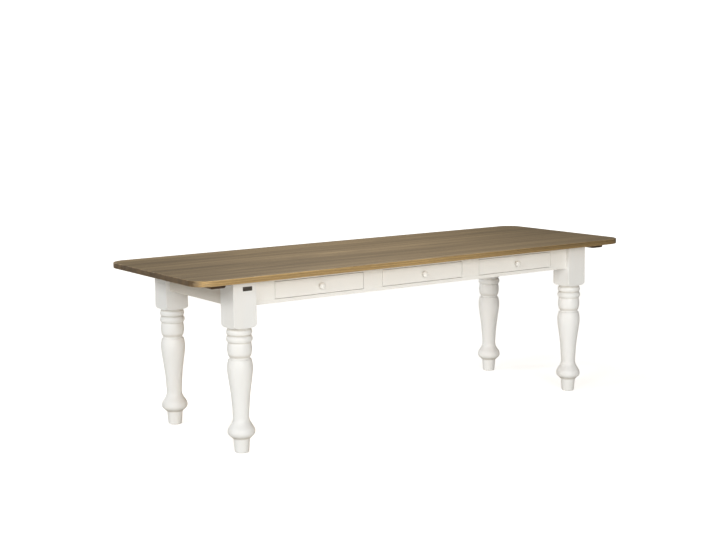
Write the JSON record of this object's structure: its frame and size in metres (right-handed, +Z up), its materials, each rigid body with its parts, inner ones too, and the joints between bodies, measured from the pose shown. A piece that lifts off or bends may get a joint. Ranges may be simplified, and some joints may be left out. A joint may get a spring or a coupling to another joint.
{
  "type": "dining table",
  "caption": "Long farmhouse dining table with an oiled board top, painted turned legs, aprons and flush drawers that slide out of one long side.",
  "frame": {"origin": "on the floor under the middle of the top", "axes": "+X along the table's length to the right as seen from the drawer side, drawers open towards -Y, +Z up"},
  "size_m": [2.4, 0.84, 0.76],
  "materials": {
    "oiled_wood": "oiled brown wood, satin",
    "white_paint": "warm white satin paint",
    "raw_wood": "bare planed softwood",
    "zinc_steel": "zinc plated",
    "dark_bronze": "dark bronze lacquer"
  },
  "bodies": {
    "table": {"top_board_1": "oiled_wood", "top_board_2": "oiled_wood", "top_board_3": "oiled_wood", "top_board_4": "oiled_wood", "top_board_5": "oiled_wood", "top_board_6": "oiled_wood", "end_batten_left": "oiled_wood", "end_batten_right": "oiled_wood", "leg_front_left": "white_paint", "leg_front_right": "white_paint", "leg_back_left": "white_paint", "leg_back_right": "white_paint", "front_top_rail": "white_paint", "front_bottom_rail": "white_paint", "front_stile_1": "white_paint", "front_stile_2": "white_paint", "front_stile_3": "white_paint", "front_stile_4": "white_paint", "back_apron": "white_paint", "end_apron_left": "white_paint", "end_apron_right": "white_paint", "top_buttons": "raw_wood", "left_drawer_left_runner": "raw_wood", "left_drawer_right_runner": "raw_wood", "left_drawer_kicker": "raw_wood", "middle_drawer_left_runner": "raw_wood", "middle_drawer_right_runner": "raw_wood", "middle_drawer_kicker": "raw_wood", "right_drawer_left_runner": "raw_wood", "right_drawer_right_runner": "raw_wood", "right_drawer_kicker": "raw_wood", "top_screws": "zinc_steel", "batten_screws": "zinc_steel", "blank_plate": "dark_bronze", "plate_pins": "dark_bronze"},
    "left_drawer": {"left_drawer_front": "white_paint", "left_drawer_left_side": "raw_wood", "left_drawer_right_side": "raw_wood", "left_drawer_back": "raw_wood", "left_drawer_bottom": "raw_wood", "left_drawer_knob": "white_paint"},
    "middle_drawer": {"middle_drawer_front": "white_paint", "middle_drawer_left_side": "raw_wood", "middle_drawer_right_side": "raw_wood", "middle_drawer_back": "raw_wood", "middle_drawer_bottom": "raw_wood", "middle_drawer_knob": "white_paint"},
    "right_drawer": {"right_drawer_front": "white_paint", "right_drawer_left_side": "raw_wood", "right_drawer_right_side": "raw_wood", "right_drawer_back": "raw_wood", "right_drawer_bottom": "raw_wood", "right_drawer_knob": "white_paint"}
  },
  "joints": [
    {"name": "left_drawer_slide", "type": "slide", "parent": "table", "child": "left_drawer", "axis": [0, -1, 0], "range_m": [0, 0.34]},
    {"name": "middle_drawer_slide", "type": "slide", "parent": "table", "child": "middle_drawer", "axis": [0, -1, 0], "range_m": [0, 0.34]},
    {"name": "right_drawer_slide", "type": "slide", "parent": "table", "child": "right_drawer", "axis": [0, -1, 0], "range_m": [0, 0.34]}
  ]
}
